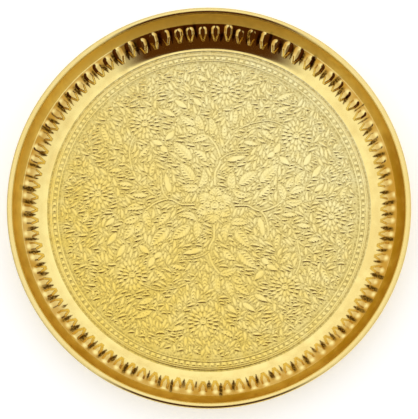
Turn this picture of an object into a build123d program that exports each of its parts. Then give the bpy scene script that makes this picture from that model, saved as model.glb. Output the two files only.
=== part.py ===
from build123d import *

import os
from math import acos, asin, atan2, cos, degrees, hypot, radians, sin, sqrt, tan

# Round serving plate pressed from one brass sheet: flat floor, flared wall with a ring of
# flutes, steep lip, and an edge rolled outwards round a stiffening wire.
# Millimetres, +Z up, origin at the middle of the underside.

# Overall sizes
plate_diameter = 254.0
plate_height = 22.0
sheet = 0.8

# Wall: plan width from where its line meets the floor to the outside of the roll, the radius of
# the bend at its foot, and the radius of the lip and the lip's slope where it meets the roll
wall_width = 22.1
bend_radius = 5.0
lip_radius = 14.0
lip_slope = 82.0

# Wire hoop and the roll round it
wire_diameter = 2.2
wire_clearance = 0.05
wire_joint_gap = 0.4
roll_slit = 0.4

# Flutes, pressed inwards; flute_start is measured up the wall from where its line meets the floor
flute_count = 90
flute_start = 5.0
flute_length = 11.6
flute_width = 6.0
flute_height = 1.1

# Length of the flute's pressing tool that stands clear of the metal at each end
bare_end = 0.5

# Round-bottomed line pressed at the floor's edge; the inset is from where wall and floor meet
edge_line_inset = 2.7
edge_line_width = 1.6
edge_line_depth = 0.25


# Roll section: two concentric arcs about the wire
roll_inner = wire_diameter / 2 + wire_clearance
roll_outer = roll_inner + sheet
roll_x = plate_diameter / 2 - roll_outer
roll_z = plate_height - roll_outer

# Lip section: an arc tangent to the roll
lip = radians(lip_slope)
lip_x = roll_x - (roll_outer + lip_radius) * sin(lip)
lip_z = roll_z + (roll_outer + lip_radius) * cos(lip)

# Wall section: a straight flare, tangent to the lip
foot_x = plate_diameter / 2 - wall_width
foot_turn = atan2(lip_z - sheet, lip_x - foot_x)
wall_slope = foot_turn - asin(lip_radius / hypot(lip_x - foot_x, lip_z - sheet))

# Bend section: an arc tangent to the floor and the wall
bend_x = foot_x - bend_radius * tan(wall_slope / 2)
bend_z = sheet + bend_radius


def on_arc(x, z, radius, slope):
    """Point of an arc about (x, z), where the sheet's slope has the given angle."""
    return (x + radius * sin(slope), z - radius * cos(slope))


def on_bend(slope, depth=0.0):
    """Point of the bend's upper face, or the given depth below that face."""
    return on_arc(bend_x, bend_z, bend_radius + depth, slope)


def on_lip(slope, depth=0.0):
    """Point of the lip's upper face, or the given depth below that face."""
    return on_arc(lip_x, lip_z, lip_radius + depth, slope)


def on_wall(up, depth):
    """Point at a distance up the flare from its foot and a depth below its upper face."""
    x, z = foot_x + up * cos(wall_slope), sheet + up * sin(wall_slope)
    return on_arc(x, z, depth, wall_slope)


def on_roll(radius, turn):
    """Point of the roll, turned outwards from where the lip meets it."""
    return (roll_x - radius * sin(lip + turn), roll_z + radius * cos(lip + turn))


def upper_path(depth=0.0):
    """Edges along the floor, bend, wall and lip, the given depth below the upper face."""
    floor_z = sheet - depth
    bend_end, lip_start = on_bend(wall_slope, depth), on_lip(wall_slope, depth)
    return [
        Line((0, floor_z), (bend_x, floor_z)),
        ThreePointArc((bend_x, floor_z), on_bend(wall_slope / 2, depth), bend_end),
        Line(bend_end, lip_start),
        ThreePointArc(lip_start, on_lip((wall_slope + lip) / 2, depth), on_lip(lip, depth)),
    ]


def turned(edges):
    """Solid of revolution about Z of a closed outline drawn in the XZ plane."""
    return revolve(Plane.XZ * make_face(edges), Axis.Z)


def sheet_shell():
    """The plain pressed sheet: floor, bend, wall, lip and the roll left open by its slit."""
    roll_turn = acos((roll_inner - roll_slit) / roll_outer) - radians(360)
    roll_end_in, roll_end_out = on_roll(roll_inner, roll_turn), on_roll(roll_outer, roll_turn)
    edges = upper_path() + upper_path(sheet)
    edges += [
        Line((0, 0), (0, sheet)),
        ThreePointArc(on_lip(lip), on_roll(roll_outer, roll_turn / 2), roll_end_out),
        Line(roll_end_out, roll_end_in),
        ThreePointArc(roll_end_in, on_roll(roll_inner, roll_turn / 2), on_lip(lip, sheet)),
    ]
    return turned(edges)


def well_fill(depth):
    """Everything above the floor and within the wall, down to a depth below the upper face."""
    lip_end = on_lip(lip, depth)
    edges = upper_path(depth)
    edges += [
        Line(lip_end, (0, lip_end[1])),
        Line((0, lip_end[1]), (0, sheet - depth)),
    ]
    return turned(edges)


def crown_radius(width, height):
    """Radius of an arc that rises by the height over a chord of the width."""
    return (width**2 / 4 + height**2) / (2 * height)


def flute_ring(depth):
    """One flute as a stretch of a ring, with its face the given depth below the flute's crown.

    The ring's tube gives the flute's width, and its outer curve along the wall gives the length.
    """
    tube = crown_radius(flute_width, flute_height)
    curve = crown_radius(flute_length, flute_height)
    x, z = on_wall(flute_start + flute_length / 2, curve - flute_height)
    tool_length = flute_length * sqrt(1 + sheet / 2 / flute_height)
    reach = asin((tool_length / 2 + bare_end) / curve)
    start = wall_slope + radians(90) - reach
    ring = Plane(origin=(x, 0, z), x_dir=(cos(start), 0, sin(start)), z_dir=(0, -1, 0))
    return ring * Torus(curve - tube, tube - depth, major_angle=degrees(2 * reach), align=None)


def edge_line():
    """Ring-shaped tool for the line pressed at the floor's edge."""
    tube = crown_radius(edge_line_width, edge_line_depth)
    return Pos(0, 0, sheet + tube - edge_line_depth) * Torus(foot_x - edge_line_inset, tube)


def make_dish():
    """The sheet with its flutes: ridges added inside, matching hollows cut outside."""
    around = PolarLocations(0, flute_count)
    ridges = around * (flute_ring(0) & well_fill(sheet / 2))
    hollows = around * flute_ring(sheet)
    return sheet_shell() + ridges - hollows - edge_line()


def make_rim_wire():
    """Hoop of round wire inside the roll, its two ends butted with a small gap."""
    section = Plane.XZ * Pos(roll_x, roll_z) * Circle(wire_diameter / 2)
    return revolve(section, Axis.Z, 360 - degrees(wire_joint_gap / roll_x))


os.makedirs("parts", exist_ok=True)
nodes = {"dish": make_dish(), "rim_wire": make_rim_wire()}
for name, solid in nodes.items():
    export_step(solid, f"parts/{name}.step")
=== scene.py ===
"""Looks of a round brass thali plate: embossed floor, fluted wall and edge rolled round a wire.

The dish is one pressed sheet. It is meshed in rings that meet edge to edge, each a surface of two
parameters worked out with numpy. Neighbouring rings share one formula, so they meet without a step.
The plate's sizes are millimetres, and a mesh becomes metres when it is made. Finishes, stage and camera
are in metres. Angles are radians, apart from those that say degrees.
"""

import logging
from collections.abc import Callable
from dataclasses import dataclass, replace
from enum import Enum
from functools import cached_property
from math import acos, asin, atan2, cos, hypot, pi, radians, sin, sqrt, tan, tau

import bpy
import numpy as np
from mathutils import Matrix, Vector


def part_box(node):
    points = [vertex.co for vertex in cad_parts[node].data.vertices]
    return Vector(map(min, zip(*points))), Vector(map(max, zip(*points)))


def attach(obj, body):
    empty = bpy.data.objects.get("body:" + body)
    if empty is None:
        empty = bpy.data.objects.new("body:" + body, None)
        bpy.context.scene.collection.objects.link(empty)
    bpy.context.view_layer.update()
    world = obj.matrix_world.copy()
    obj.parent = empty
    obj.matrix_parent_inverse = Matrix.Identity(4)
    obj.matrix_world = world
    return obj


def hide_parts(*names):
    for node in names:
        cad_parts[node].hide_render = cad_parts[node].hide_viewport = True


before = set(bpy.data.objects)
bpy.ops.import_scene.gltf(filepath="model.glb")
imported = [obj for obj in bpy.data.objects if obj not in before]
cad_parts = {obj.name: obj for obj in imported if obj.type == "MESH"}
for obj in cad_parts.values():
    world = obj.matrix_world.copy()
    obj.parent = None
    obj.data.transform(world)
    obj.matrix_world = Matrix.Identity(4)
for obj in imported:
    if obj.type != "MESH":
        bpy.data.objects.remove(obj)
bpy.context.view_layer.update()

log = logging.getLogger("thali_plate")

Array = np.ndarray
Point = tuple[float, float]
Colour = tuple[float, float, float, float]
Rows = tuple[int, int]
Place = tuple[Array, Array, Array]
Socket = bpy.types.NodeSocket

MM = 0.001
BODY = "root"
WHITE: Colour = (1.0, 1.0, 1.0, 1.0)

# Places looked at along and across a leaf to see whether it fits, and steps on each span of a stem
PROBES_ALONG = 9
PROBES_ACROSS = 3
STEPS_PER_SPAN = 14

TINY = 1e-9


def smooth_step(share: Array) -> Array:
    """Eases a share from 0 to 1 with level ends, and holds it outside them."""
    held = np.clip(share, 0.0, 1.0)
    return held * held * (3.0 - 2.0 * held)


def bell(value: Array, middle: Array | float, width: float) -> Array:
    """Bell-shaped share, 1 at the middle and about a third one width away from it."""
    return np.exp(-(((value - middle) / width) ** 2))


def placed(point: Point, turn: float, shift: Point) -> Point:
    """Turns a point about the origin and then shifts it."""
    x, y = point
    return x * cos(turn) - y * sin(turn) + shift[0], x * sin(turn) + y * cos(turn) + shift[1]


def smooth_line(points: tuple[Point, ...], per_span: int) -> Array:
    """Draws a smooth line through the points.

    Each span is a cubic between two points, whose direction at a point is that of the chord from
    the point before it to the point after it.

    Args:
        points: The points passed through, in order.
        per_span: How many places are worked out on each span.

    Returns:
        The places along the line, one row each.
    """
    knots = np.array(points, float)
    ways = np.gradient(knots, axis=0)
    t = np.linspace(0.0, 1.0, per_span)[None, :, None]
    start, end = knots[:-1, None], knots[1:, None]
    leave, arrive = ways[:-1, None], ways[1:, None]
    line = (
        (2 * t**3 - 3 * t**2 + 1) * start
        + (t**3 - 2 * t**2 + t) * leave
        + (3 * t**2 - 2 * t**3) * end
        + (t**3 - t**2) * arrive
    )
    return line.reshape(-1, 2)


class LeafKind(Enum):
    """How a leaf of the floor's pattern is worked."""

    SOLID = "plain raised leaf"
    SPLIT = "raised leaf with a sunk midrib and slanting veins"
    VEINED = "raised leaf with slanting veins"


class Mark(Enum):
    """Marks that a mesh carries as attributes of its points, from 0 to 1: tarnish and painted shade, and
    tone.
    """

    RECESS = "recess"
    DEEPER = "deeper"


class Part(Enum):
    """Parts of the plate that have a finish of their own."""

    FLOOR = "embossed floor"
    WALL = "polished wall"
    LIP = "steep lip"
    RIM = "rolled edge"
    UNDERSIDE = "underside"
    WIRE = "wire in the rolled edge"


@dataclass
class ReliefMap:
    """Square field of heights over the floor, filled by stamping one motif after another.

    A motif gives its height, as a share of the full height, and its distance outside its own outline.
    The field is first pressed flat out to a moat round the outline, so each motif stands clear of what
    was stamped before it. The field is read up to just short of its last places.
    """

    reach: float
    step: float = 0.16
    moat: float = 0.6
    short: float = 0.001

    def __post_init__(self) -> None:
        """Lays out the empty field."""
        self.count = int(2 * self.reach / self.step) + 1
        self.axis = np.linspace(-self.reach, self.reach, self.count)
        self.height = np.zeros((self.count, self.count))
        self.recess = np.zeros((self.count, self.count))

    def window(self, points: Array, margin: float) -> tuple[tuple[slice, slice], Array, Array]:
        """Finds the part of the field round some points.

        Args:
            points: The points to take in, one row each.
            margin: How far past the points the window reaches.

        Returns:
            The window's slices of the field, and the X and Y of its places.
        """
        low, high = points.min(axis=0) - margin, points.max(axis=0) + margin
        first = np.clip(np.searchsorted(self.axis, low), 0, self.count - 1)
        last = np.clip(np.searchsorted(self.axis, high), 1, self.count)
        across, up = slice(first[0], last[0]), slice(first[1], last[1])
        x, y = np.meshgrid(self.axis[across], self.axis[up])
        return (up, across), x, y

    def stamp(self, part: tuple[slice, slice], height: Array, outside: Array) -> None:
        """Adds one motif to the field.

        Args:
            part: The slices of the field that the motif covers.
            height: Height of the motif at each place, 0 to 1.
            outside: Distance outside the motif's outline, negative within it.
        """
        clear = smooth_step(1.0 - outside / self.moat)
        self.height[part] = self.height[part] * (1.0 - clear) + height
        moat = bell(outside, self.moat / 2, self.moat / 2)
        inside = smooth_step(-outside / (self.moat / 2) + 1.0)
        self.recess[part] = np.maximum(self.recess[part] * (1.0 - inside), moat)

    def blurred(self, field: Array, spread: float) -> Array:
        """Softens a field with a bell-shaped spread, by way of its Fourier transform.

        Args:
            field: The field to soften.
            spread: The bell's standard deviation.

        Returns:
            The softened field.
        """
        rate = np.fft.fftfreq(self.count, self.step)
        passed = np.exp(-2.0 * (pi * spread * rate) ** 2)
        waves = np.fft.fft2(field) * passed[:, None] * passed[None, :]
        return np.real(np.fft.ifft2(waves))

    def sampled(self, field: Array, x: Array, y: Array) -> Array:
        """Reads a field between its places, in straight proportion along X and Y.

        Args:
            field: The field to read.
            x: X of the places asked for.
            y: Y of the places asked for.

        Returns:
            The field's value at each place.
        """
        last = self.count - 1 - self.short
        across = np.clip((x + self.reach) / self.step, 0, last)
        up = np.clip((y + self.reach) / self.step, 0, last)
        i, j = across.astype(int), up.astype(int)
        fx, fy = across - i, up - j
        low = field[j, i] * (1 - fx) + field[j, i + 1] * fx
        high = field[j + 1, i] * (1 - fx) + field[j + 1, i + 1] * fx
        return low * (1 - fy) + high * fy


@dataclass(frozen=True)
class Leaf:
    """A raised leaf on a straight or bowed rib.

    Its half width is a sine of the way from base to tip, fullest nearer the base, and its height across
    is a low dome. The bow is the rib's rise over its chord, as a share of the chord.
    """

    base: Point
    tip: Point
    width: float
    kind: LeafKind = LeafKind.SOLID
    bow: float = 0.0
    level: float = 1.0
    fullest: float = 0.8
    bluntness: float = 0.75
    least_half: float = 0.02
    edge: float = 0.6
    edge_level: float = 0.4
    slit_width: float = 0.11
    slit_depth: float = 0.85
    slit_ends: float = 6.0
    vein_pitch: float = 2.2
    vein_slant: float = 0.8
    vein_depth: float = 0.38
    bare_level: float = 0.2

    def moved(self, turn: float, shift: Point) -> "Leaf":
        """The same leaf turned about the origin and shifted."""
        return replace(self, base=placed(self.base, turn, shift), tip=placed(self.tip, turn, shift))

    def stamp(self, relief: ReliefMap) -> None:
        """Presses the leaf into a relief.

        Args:
            relief: The relief to press into.
        """
        ends = np.array([self.base, self.tip])
        part, x, y = relief.window(ends, self.width + relief.moat)
        chord = ends[1] - ends[0]
        length = hypot(*chord)
        way = chord / length
        along = ((x - ends[0, 0]) * way[0] + (y - ends[0, 1]) * way[1]) / length
        held = np.clip(along, 0.0, 1.0)
        rib = 4.0 * self.bow * length * held * (1.0 - held)
        across = (y - ends[0, 1]) * way[0] - (x - ends[0, 0]) * way[1] - rib
        half = self.width / 2 * np.sin(pi * held**self.fullest) ** self.bluntness + self.least_half
        past = np.abs(along - held) * length
        outside = np.where(past > 0, np.hypot(across, past), np.abs(across) - half)
        dome = np.sqrt(np.clip(1.0 - (across / half) ** 2, 0.0, 1.0))
        height = smooth_step(-outside / self.edge) * (self.edge_level + (1.0 - self.edge_level) * dome)
        left = self.left_by_tool(held, along * length, across)
        relief.stamp(part, self.level * height * left, outside)

    def left_by_tool(self, held: Array, run: Array, across: Array) -> Array:
        """What the sunk midrib and the veins leave of the height.

        The midrib is a bell across the leaf that ends short of base and tip. The veins are a cosine of
        the run along the leaf, slanted back on both sides.

        Args:
            held: Share of the way from base to tip.
            run: Distance along the chord from the base.
            across: Distance from the rib.

        Returns:
            The share of the height that is left at each place.
        """
        left = np.ones_like(across)
        if self.kind is LeafKind.SPLIT:
            slit = bell(across, 0.0, self.slit_width * self.width)
            left = 1.0 - self.slit_depth * slit * smooth_step(self.slit_ends * held * (1.0 - held))
        if self.kind is not LeafKind.SOLID:
            veins = np.cos(tau * (run - self.vein_slant * np.abs(across)) / self.vein_pitch)
            left = left * (1.0 - self.vein_depth + self.vein_depth * veins)
        return left

    def fits(self, relief: ReliefMap, reach: float) -> bool:
        """Whether the ground under the leaf is bare and lies within a reach of the floor's middle.

        Args:
            relief: The relief as stamped so far.
            reach: How far from the floor's middle the leaf may lie.

        Returns:
            True where the leaf has room.
        """
        base, tip = np.array(self.base), np.array(self.tip)
        chord = (tip - base) / hypot(*(tip - base))
        share = np.linspace(0.0, 1.0, PROBES_ALONG)[:, None]
        aside = np.linspace(-0.5, 0.5, PROBES_ACROSS)[None, :] * self.width
        x = base[0] + share * (tip - base)[0] - aside * chord[1]
        y = base[1] + share * (tip - base)[1] + aside * chord[0]
        if np.hypot(x, y).max() > reach:
            return False
        return bool(relief.sampled(relief.height, x, y).max() < self.bare_level)


@dataclass(frozen=True)
class Stem:
    """A raised round line through a few points."""

    points: tuple[Point, ...]
    width: float = 1.1
    level: float = 0.8

    def moved(self, turn: float, shift: Point) -> "Stem":
        """The same stem turned about the origin and shifted."""
        return replace(self, points=tuple(placed(p, turn, shift) for p in self.points))

    def stamp(self, relief: ReliefMap) -> None:
        """Presses the stem into a relief.

        Args:
            relief: The relief to press into.
        """
        line = smooth_line(self.points, STEPS_PER_SPAN)
        part, x, y = relief.window(line, self.width + relief.moat)
        gap = np.full(x.shape, np.inf)
        for start, end in zip(line[:-1], line[1:]):
            run = end - start
            share = ((x - start[0]) * run[0] + (y - start[1]) * run[1]) / max(run @ run, TINY)
            share = np.clip(share, 0.0, 1.0)
            near = start[:, None, None] + share * run[:, None, None]
            gap = np.minimum(gap, np.hypot(x - near[0], y - near[1]))
        dome = np.sqrt(np.clip(1.0 - (gap / (self.width / 2)) ** 2, 0.0, 1.0))
        relief.stamp(part, self.level * dome, gap - self.width / 2)


@dataclass(frozen=True)
class PetalRing:
    """One ring of petals: how many, and where they start and end as shares of the flower's radius."""

    petals: int
    start: float
    end: float


@dataclass(frozen=True)
class Flower:
    """An open flower seen from above: rings of petals round a sunk eye with a bead in it.

    The eye's rim and its bead are measured in shares of the eye's radius.
    """

    centre: Point
    radius: float
    eye: float = 1.9
    turn: float = 0.0
    kind: LeafKind = LeafKind.SOLID
    rings: tuple[PetalRing, ...] = (PetalRing(20, 0.56, 1.0), PetalRing(12, 0.24, 0.64))
    fullness: float = 0.84
    eye_rim: Point = (0.82, 0.2)
    eye_rim_level: float = 0.85
    eye_edge: float = 0.3
    bead: float = 0.36
    bead_level: float = 0.8

    def moved(self, turn: float, shift: Point) -> "Flower":
        """The same flower turned about the origin and shifted."""
        return replace(self, centre=placed(self.centre, turn, shift), turn=self.turn + turn)

    def stamp(self, relief: ReliefMap) -> None:
        """Presses the flower into a relief, from its outer petals to its eye.

        A petal is a leaf on a spoke of the flower, as wide as a share of the ring's own spacing.

        Args:
            relief: The relief to press into.
        """
        for order, ring in enumerate(self.rings):
            reach = self.radius * (ring.start + ring.end) / 2
            width = self.fullness * tau * reach / ring.petals
            for k in range(ring.petals):
                spoke = self.turn + tau * (k + order / 2) / ring.petals
                base = placed((ring.start * self.radius, 0.0), spoke, self.centre)
                tip = placed((ring.end * self.radius, 0.0), spoke, self.centre)
                Leaf(base, tip, width, self.kind).stamp(relief)
        part, x, y = relief.window(np.array([self.centre]), self.eye + 2 * relief.moat)
        rho = np.hypot(x - self.centre[0], y - self.centre[1])
        middle, width = self.eye_rim
        height = self.eye_rim_level * bell(rho, middle * self.eye, width * self.eye)
        height = height + self.bead_level * bell(rho, 0.0, self.bead * self.eye)
        outside = rho - self.eye
        relief.stamp(part, smooth_step(-outside / self.eye_edge) * height, outside)


@dataclass(frozen=True)
class Scroll:
    """A curled tendril: a stem that winds inwards, with a bud at its heart and two leaves outside it.

    The stem's distance from the heart shrinks in proportion to the way along it.
    """

    centre: Point
    radius: float
    start: float
    hand: float
    turns: float = 0.95
    tightening: float = 0.72
    spans: int = 7
    stem_width: float = 0.9
    stem_level: float = 0.75
    bud_reach: float = 0.9
    leaf_width: float = 1.9
    leaf_places: Point = (0.02, 0.3)
    leaf_run: float = 0.2
    leaf_base: float = 1.06
    leaf_tip: float = 1.75
    leaf_bow: float = 0.12

    def moved(self, turn: float, shift: Point) -> "Scroll":
        """The same scroll turned about the origin and shifted."""
        return replace(self, centre=placed(self.centre, turn, shift), start=self.start + turn)

    def at(self, share: float, scale: float = 1.0) -> Point:
        """Point at a share of the way along the curl.

        Args:
            share: Share of the way from the curl's start to its heart.
            scale: How far the point is pushed out from the heart.

        Returns:
            The point's X and Y.
        """
        rho = self.radius * (1.0 - self.tightening * share) * scale
        angle = self.start + self.hand * tau * self.turns * share
        return self.centre[0] + rho * cos(angle), self.centre[1] + rho * sin(angle)

    def stamp(self, relief: ReliefMap) -> None:
        """Presses the curl, its bud and its leaves into a relief.

        Args:
            relief: The relief to press into.
        """
        points = tuple(self.at(k / self.spans) for k in range(self.spans + 1))
        Stem(points, self.stem_width, self.stem_level).stamp(relief)
        Leaf(self.at(1.0), self.at(1.0, -self.bud_reach), self.leaf_width).stamp(relief)
        for share in self.leaf_places:
            base, tip = self.at(share, self.leaf_base), self.at(share + self.leaf_run, self.leaf_tip)
            Leaf(base, tip, self.leaf_width, bow=self.leaf_bow * self.hand).stamp(relief)


Motif = Leaf | Stem | Flower | Scroll


@dataclass
class FloralField:
    """The floor's pattern: four equal quarters of leaves, sprays and flowers round a rosette.

    The pattern's middle lies a little off the floor's middle, as the sheet was struck. Places are
    measured from the pattern's middle, X to the right and Y away from the viewer. A ring of scrolls
    lies near the border, and small leaves fill the ground that is left, along a flow that sways.
    """

    middle: Point = (3.6, 3.1)
    reach: float = 94.6
    quarters: int = 4
    seed: int = 11
    filler_sizes: tuple[tuple[float, float, int], ...] = (
        (7.0, 2.0, 700), (5.2, 1.7, 1800), (3.8, 1.5, 3000), (2.6, 1.3, 3500)
    )
    filler_span: Point = (0.01, 1.1)
    filler_lean: float = 0.3
    filler_bow: float = 0.2
    sway: float = 1.2
    sway_rates: Point = (0.23, 0.19)
    sway_phase: float = 1.3
    slant: float = 0.8
    slant_rate: float = 0.13
    scrolls: int = 44
    scroll_ring: float = 88.6
    scroll_size: float = 3.6
    scroll_start: float = radians(100.0)

    def rosette(self) -> list[Motif]:
        """The flower in the middle."""
        rings = PetalRing(6, 0.4, 1.0), PetalRing(6, 0.2, 0.62)
        return [Flower((0.0, 0.0), 11.6, 2.6, radians(25), LeafKind.SPLIT, rings, 0.95)]

    def trefoil(self) -> list[Motif]:
        """Three split leaves that spring from the rosette between two stems.

        Returns:
            The motifs, measured from the pattern's middle.
        """
        split = LeafKind.SPLIT
        return [
            Leaf((11.6, 10.2), (11.6, 21.8), 5.4, split, 0.08),
            Leaf((11.4, 10.0), (23.4, 7.4), 4.7, split, -0.2),
            Leaf((15.9, 13.3), (27.0, 21.9), 6.8, split),
        ]

    def left_branch(self) -> list[Motif]:
        """The stem from the rosette with its left branch and the leaves round its end.

        Returns:
            The motifs, measured from the pattern's middle.
        """
        split = LeafKind.SPLIT
        return [
            Stem(((0.3, 13.0), (0.4, 20.9), (3.2, 26.5), (3.6, 31.0), (0.8, 38.5), (-3.6, 44.2)), 1.2),
            Leaf((-3.6, 44.2), (-14.2, 40.3), 4.9, split, -0.08),
            Leaf((-2.0, 45.4), (-3.4, 56.6), 4.8, split, -0.14),
            Leaf((-7.6, 48.4), (-11.0, 58.6), 5.0, split, 0.06),
            Leaf((-12.6, 51.6), (-22.0, 57.6), 5.0, split, 0.05),
            Leaf((-11.2, 46.1), (-18.0, 50.4), 4.4, split),
            Leaf((-17.8, 62.4), (-25.9, 68.2), 3.7),
            Leaf((-8.4, 63.8), (-13.8, 69.6), 3.4),
            Leaf((-25.2, 57.1), (-34.0, 61.9), 3.6),
            Leaf((8.0, 28.4), (20.4, 31.4), 4.0),
            Stem(((3.9, 29.6), (7.7, 32.3), (13.5, 33.9), (19.6, 34.0)), 0.9, 0.6),
        ]

    def right_spray(self) -> list[Motif]:
        """The long spray that leans right, with slim leaves on both sides.

        Returns:
            The motifs, measured from the pattern's middle.
        """
        veined = LeafKind.VEINED
        leaves = [
            ((6.2, 42.6), (6.2, 53.4), 3.3),
            ((12.7, 52.2), (13.9, 61.8), 3.4),
            ((22.7, 59.2), (21.7, 67.6), 3.3),
            ((18.6, 40.7), (28.2, 38.7), 3.4),
            ((30.4, 48.2), (38.0, 41.4), 3.5),
            ((39.0, 59.6), (48.6, 63.6), 3.8),
            ((39.7, 67.6), (51.0, 72.4), 3.8),
        ]
        leaflets = [
            ((9.4, 42.2), (9.2, 47.0), 1.8),
            ((12.3, 45.4), (17.0, 43.6), 1.8),
            ((15.0, 48.3), (20.3, 47.2), 1.9),
            ((17.3, 50.3), (17.2, 55.6), 2.0),
            ((26.2, 56.8), (25.6, 62.0), 1.9),
            ((27.0, 57.8), (32.6, 58.2), 2.0),
            ((30.6, 62.6), (29.2, 68.0), 2.0),
            ((31.6, 63.4), (37.0, 64.0), 1.9),
        ]
        stem = (
            (6.8, 38.6), (10.3, 43.0), (16.1, 49.4), (20.9, 51.6), (24.1, 54.1), (28.9, 60.3), (34.5, 67.0)
        )
        tendril = ((22.6, 52.4), (32.1, 54.2), (38.5, 53.6), (44.4, 51.0))
        made: list[Motif] = [Stem(stem, 1.2), Stem(tendril, 0.8, 0.6)]
        made += [Leaf(base, tip, width, veined) for base, tip, width in leaves]
        made += [Leaf(base, tip, width) for base, tip, width in leaflets]
        return made

    def diagonal_group(self) -> list[Motif]:
        """The leaves, bud and flower on the quarter's diagonal.

        Returns:
            The motifs, measured from the pattern's middle.
        """
        return [
            Leaf((29.3, 14.8), (40.6, 26.2), 7.0, LeafKind.SPLIT),
            Leaf((28.3, 5.4), (35.2, 13.6), 4.8, LeafKind.VEINED, -0.1),
            Leaf((33.6, 30.4), (39.0, 34.6), 3.8),
            Leaf((38.6, 33.2), (41.8, 40.0), 3.8),
            Leaf((41.8, 31.0), (48.0, 25.4), 3.9),
            Flower((52.3, 44.6), 10.4, turn=radians(12)),
        ]

    def outer_flower(self) -> list[Motif]:
        """The flower near the border, straight out from the rosette.

        Returns:
            The motifs, measured from the pattern's middle.
        """
        return [
            Flower((7.2, 74.2), 10.6, turn=radians(5)),
            Leaf((-4.2, 80.6), (-11.8, 84.6), 3.4, LeafKind.VEINED, 0.1),
            Leaf((18.6, 78.4), (27.4, 80.6), 3.4, LeafKind.VEINED, -0.1),
        ]

    def quarter(self) -> list[Motif]:
        """All motifs of one quarter."""
        made = self.left_branch() + self.right_spray()
        return made + self.diagonal_group() + self.outer_flower() + self.trefoil()

    def outer_scrolls(self) -> list[Motif]:
        """A ring of curled tendrils about the floor's middle, turned left and right in turn.

        Returns:
            The tendrils, measured from the floor's middle.
        """
        made: list[Motif] = []
        for k in range(self.scrolls):
            angle = tau * (k + 0.5) / self.scrolls
            centre = self.scroll_ring * cos(angle), self.scroll_ring * sin(angle)
            hand = 1.0 if k % 2 else -1.0
            made.append(Scroll(centre, self.scroll_size, angle - hand * self.scroll_start, hand))
        return made

    def flow(self, x: float, y: float) -> float:
        """Direction of the small leaves at a place: outwards, swayed to both sides by slow waves.

        Args:
            x: X of the place, from the pattern's middle.
            y: Y of the place, from the pattern's middle.

        Returns:
            The direction's angle from X.
        """
        across, up = self.sway_rates
        swayed = self.sway * sin(across * x + self.sway_phase) * cos(up * y)
        return atan2(y, x) + swayed + self.slant * sin(self.slant_rate * (x - y))

    def fillers(self, relief: ReliefMap) -> None:
        """Sows small leaves wherever the ground is still bare, the long ones first.

        A leaf is tried at a seeded place of one quarter and again in the other quarters, and stays
        wherever it fits. It follows the flow of its place, with a small lean of its own.

        Args:
            relief: The relief to press into.
        """
        draw = np.random.default_rng(self.seed)
        for length, width, tries in self.filler_sizes:
            for _ in range(tries):
                rho = self.reach * sqrt(draw.uniform(*self.filler_span))
                angle = draw.uniform(0.0, tau / self.quarters)
                lean = draw.normal(0.0, self.filler_lean)
                place = rho * cos(angle), rho * sin(angle)
                way = self.flow(*place) + lean
                base = placed((-length / 2, 0.0), way, place)
                tip = placed((length / 2, 0.0), way, place)
                leaf = Leaf(base, tip, width, bow=self.filler_bow * lean)
                for k in range(self.quarters):
                    copy = leaf.moved(tau * k / self.quarters, self.middle)
                    if copy.fits(relief, self.reach):
                        copy.stamp(relief)

    def stamp(self, relief: ReliefMap) -> None:
        """Presses the whole pattern into a relief, the outer scrolls first and the rosette last.

        Args:
            relief: The relief to press into.
        """
        for motif in self.outer_scrolls():
            motif.stamp(relief)
        for k in range(self.quarters):
            for motif in self.quarter():
                motif.moved(tau * k / self.quarters, self.middle).stamp(relief)
        self.fillers(relief)
        for motif in self.rosette():
            motif.moved(0.0, self.middle).stamp(relief)


@dataclass(frozen=True)
class Border:
    """Ring of fine bars between two thin lines, and the pressed line round the floor's edge.

    Heights are shares of the relief's full height. The edge line's depth is in millimetres.
    """

    bars: int = 162
    inner: float = 97.2
    outer: float = 99.3
    line: float = 0.8
    level: float = 0.8
    bar_swing: float = 0.9
    bar_end: float = 0.3
    ground_level: float = 0.5
    ground_tarnish_and_shade: float = 0.8
    edge_line: float = 102.2
    edge_width: float = 1.6
    edge_depth: float = 0.25

    def height(self, rho: Array, angle: Array) -> Array:
        """Height of bars and lines: a cosine round the axis held between two radii, and two low domes.

        Args:
            rho: Distance from the axis.
            angle: Angle about the axis.

        Returns:
            The height at each place.
        """
        bar = smooth_step(0.5 + self.bar_swing * np.cos(self.bars * angle))
        past_inner = smooth_step((rho - self.inner) / self.bar_end)
        short_of_outer = smooth_step((self.outer - rho) / self.bar_end)
        lines = np.zeros_like(rho)
        for middle in (self.inner - self.line, self.outer + self.line):
            dome = np.clip(1.0 - ((rho - middle) / (self.line / 2)) ** 2, 0.0, 1.0)
            lines = np.maximum(lines, dome)
        return self.level * np.maximum(bar * past_inner * short_of_outer, lines)

    def groove(self, rho: Array) -> Array:
        """Depth of the edge line, a shallow round-bottomed trough."""
        beside = (rho - self.edge_line) / (self.edge_width / 2)
        return self.edge_depth * np.clip(1.0 - beside**2, 0.0, 1.0)

    def sunk(self, rho: Array, angle: Array) -> Array:
        """Where the border lies low: between the bars and in the edge line.

        Args:
            rho: Distance from the axis.
            angle: Angle about the axis.

        Returns:
            How much of the ground's tarnish and painted shade lies there, from 0 to 1.
        """
        between = np.clip(1.0 - self.height(rho, angle) / self.ground_level, 0.0, 1.0)
        between = between * (rho < self.outer + self.line)
        return np.maximum(self.ground_tarnish_and_shade * between, self.groove(rho) / self.edge_depth)


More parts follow.
